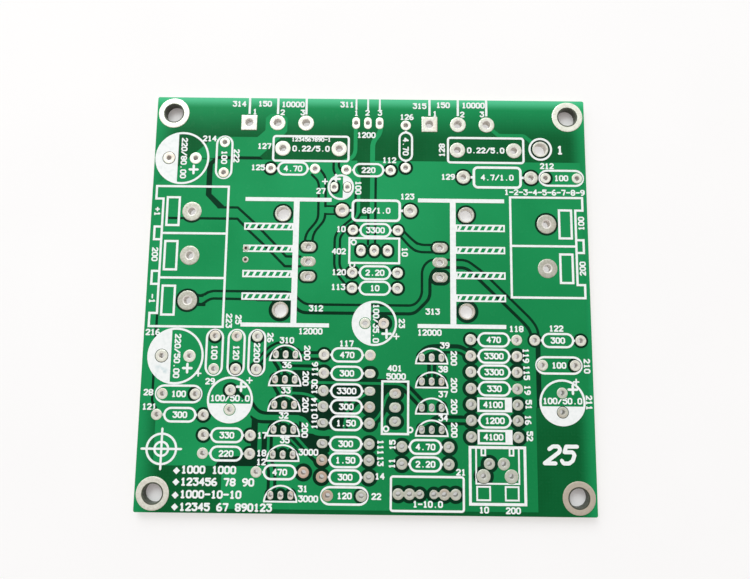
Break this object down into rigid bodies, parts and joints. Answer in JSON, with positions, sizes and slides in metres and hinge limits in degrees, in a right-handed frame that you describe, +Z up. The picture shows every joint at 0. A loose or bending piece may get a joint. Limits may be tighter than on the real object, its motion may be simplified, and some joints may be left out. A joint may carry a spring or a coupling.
{
  "type": "amplifier circuit board",
  "caption": "Bare green circuit board of an audio amplifier: a drilled laminate with tinned lands, plated corner holes and white printed component outlines, ready to be fitted.",
  "frame": {"origin": "middle of the underside", "axes": "+X along the width, +Y from the front edge with the input socket to the back edge with the power transistors, +Z up out of the printed face"},
  "size_m": [0.0838, 0.0788, 0.0016],
  "materials": {
    "solder_mask": "glossy green solder mask over copper and glass-fibre laminate",
    "tin": "satin tin on copper",
    "legend_ink": "matt white ink"
  },
  "bodies": {
    "root": {"coupling_capacitor_outline": "legend_ink", "diode_outlines": "legend_ink", "electrolytic_outlines": "legend_ink", "film_capacitor_outlines": "legend_ink", "five_watt_resistor_outlines": "legend_ink", "heat_sink_lands": "tin", "heat_sink_outlines": "legend_ink", "input_socket_outline": "legend_ink", "laminate": "solder_mask", "lead_lines": "legend_ink", "mounting_eyelets": "tin", "one_watt_resistor_outlines": "legend_ink", "power_resistor_lands": "tin", "power_transistor_lands": "tin", "resistor_outlines": "legend_ink", "small_transistor_outlines": "legend_ink", "terminal_lands": "tin", "terminal_outlines": "legend_ink", "test_point_land": "tin", "test_point_ring": "legend_ink", "trimmer_outlines": "legend_ink"}
  },
  "joints": []
}
